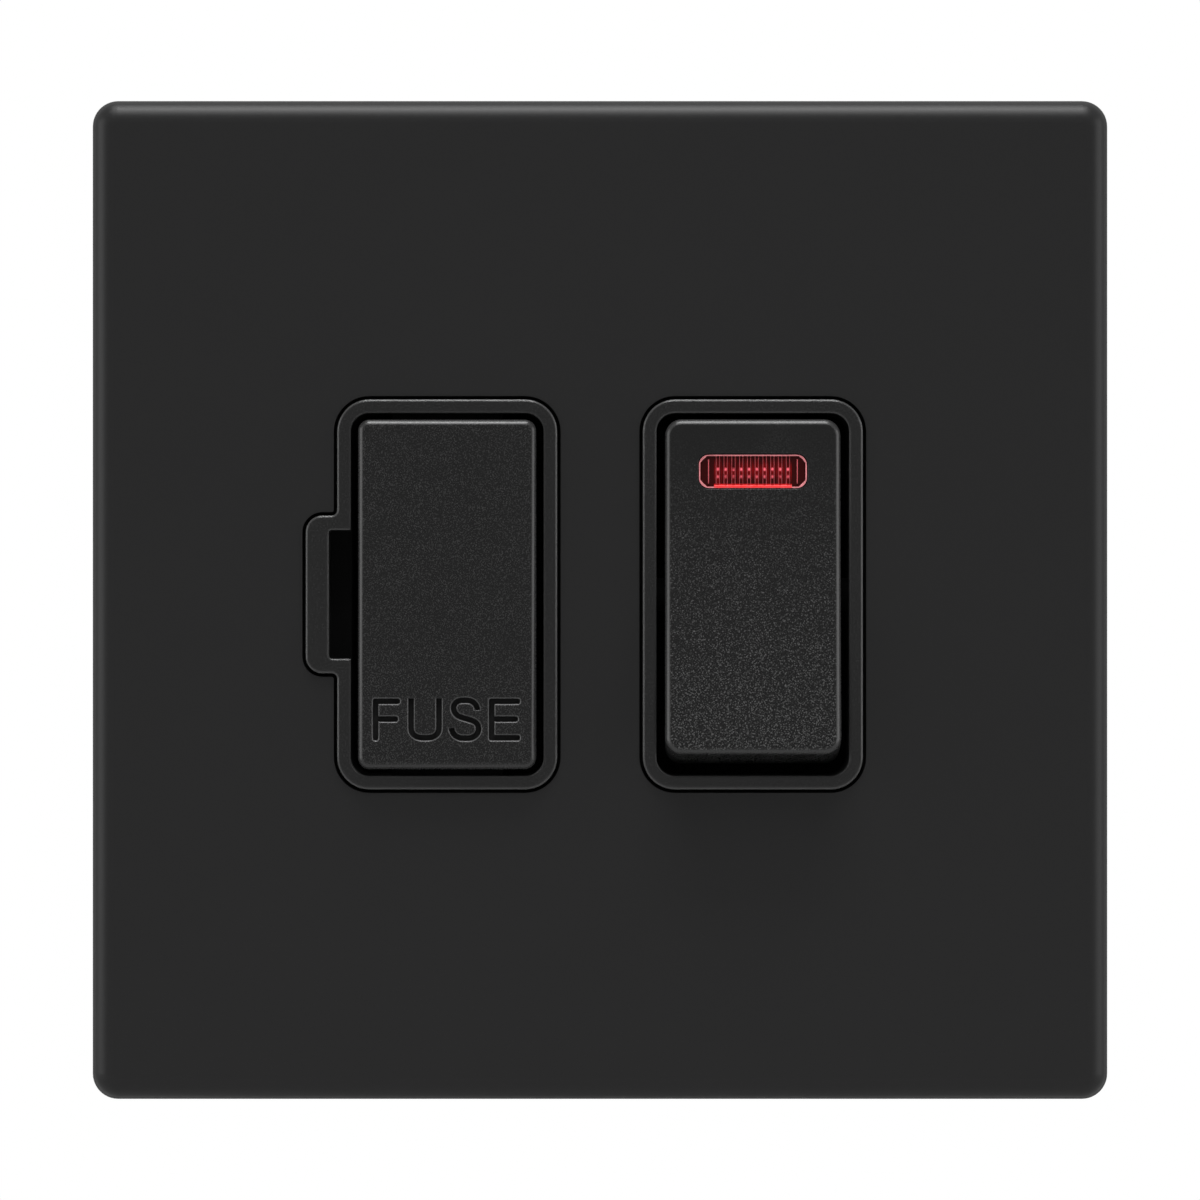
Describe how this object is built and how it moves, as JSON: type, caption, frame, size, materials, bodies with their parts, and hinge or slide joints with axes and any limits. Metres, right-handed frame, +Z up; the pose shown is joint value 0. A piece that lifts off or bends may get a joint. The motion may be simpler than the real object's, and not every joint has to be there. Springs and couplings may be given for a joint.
{
  "type": "switched fused spur unit",
  "caption": "Wall-mounted fused spur unit: square clip-on plate, pull-out fuse carrier, tilting rocker switch with a lit window, steel mounting frame and rear terminal housing.",
  "frame": {"origin": "on the wall face, midway between the two fixing screws, which is the middle of the front plate", "axes": "+X to the right and +Z up as the unit is seen on the wall; +Y into the wall, so the front looks along -Y"},
  "size_m": [0.0914, 0.0304, 0.09],
  "materials": {
    "plate_plastic": "smooth matte black moulding",
    "housing_plastic": "smooth satin black moulding",
    "case_plastic": "matte black moulding",
    "carrier_plastic": "fine-grained matte black moulding",
    "rocker_plastic": "grained matte black moulding",
    "lens_plastic": "clear red moulding with upright ribs",
    "zinc_steel": "zinc-plated",
    "spring_steel": "bright drawn wire",
    "terminal_brass": "machined",
    "plunger_brass": "turned",
    "clip_bronze": "pressed, spring temper",
    "strip_copper": "pressed copper alloy",
    "contact_silver": "silver-faced",
    "fuse_cap_metal": "nickel-plated",
    "fuse_ceramic": "unglazed off-white",
    "resistor_ceramic": "lacquered",
    "lamp_glass": "clear",
    "lead_wire": "tinned wire"
  },
  "bodies": {
    "unit": {"front_plate": "plate_plastic", "mounting_frame": "zinc_steel", "front_housing": "housing_plastic", "rear_housing": "case_plastic", "housing_screws": "zinc_steel", "fuse_clip_upper": "clip_bronze", "fuse_clip_lower": "clip_bronze", "fixed_contact_tips": "contact_silver", "supply_strip_live": "strip_copper", "supply_strip_neutral": "strip_copper", "pivot_strip_live": "strip_copper", "pivot_strip_neutral": "strip_copper", "load_strip_live": "strip_copper", "earth_strap": "terminal_brass", "earth_rivet": "terminal_brass", "terminal_supply_live": "terminal_brass", "terminal_screw_supply_live": "zinc_steel", "terminal_supply_earth": "terminal_brass", "terminal_screw_supply_earth": "zinc_steel", "terminal_supply_neutral": "terminal_brass", "terminal_screw_supply_neutral": "zinc_steel", "terminal_load_live": "terminal_brass", "terminal_screw_load_live": "zinc_steel", "terminal_load_earth": "terminal_brass", "terminal_screw_load_earth": "zinc_steel", "terminal_load_neutral": "terminal_brass", "terminal_screw_load_neutral": "zinc_steel"},
    "fuse_drawer": {"fuse_carrier": "carrier_plastic", "fuse_body": "fuse_ceramic", "fuse_end_caps": "fuse_cap_metal"},
    "switch_rocker": {"rocker": "rocker_plastic", "rocker_lens": "lens_plastic", "neon_lamp": "lamp_glass", "neon_leads": "lead_wire", "neon_resistor": "resistor_ceramic", "plunger_live": "plunger_brass", "plunger_neutral": "plunger_brass", "plunger_spring_live": "spring_steel", "plunger_spring_neutral": "spring_steel"},
    "live_seesaw": {"moving_contact_live": "strip_copper", "moving_tip_live": "contact_silver"},
    "neutral_seesaw": {"moving_contact_neutral": "strip_copper", "moving_tip_neutral": "contact_silver"}
  },
  "joints": [
    {"name": "fuse_drawer_slide", "type": "slide", "parent": "unit", "child": "fuse_drawer", "axis": [0, -1, 0], "range_m": [0, 0.0095]},
    {"name": "rocker_tilt", "type": "hinge", "parent": "unit", "child": "switch_rocker", "pos_m": [0.01375, -0.0015, 0.0005], "axis": [1, 0, 0], "range_deg": [0, 12]},
    {"name": "live_seesaw_rock", "type": "hinge", "parent": "unit", "child": "live_seesaw", "pos_m": [0.01015, 0.01253, 0.0005], "axis": [1, 0, 0], "range_deg": [-18, 0]},
    {"name": "neutral_seesaw_rock", "type": "hinge", "parent": "unit", "child": "neutral_seesaw", "pos_m": [0.01735, 0.01253, 0.0005], "axis": [1, 0, 0], "range_deg": [-18, 0]}
  ],
  "couplings": [
    {"joint": "live_seesaw_rock", "follows": "rocker_tilt", "ratio": -1.5},
    {"joint": "neutral_seesaw_rock", "follows": "rocker_tilt", "ratio": -1.5}
  ]
}
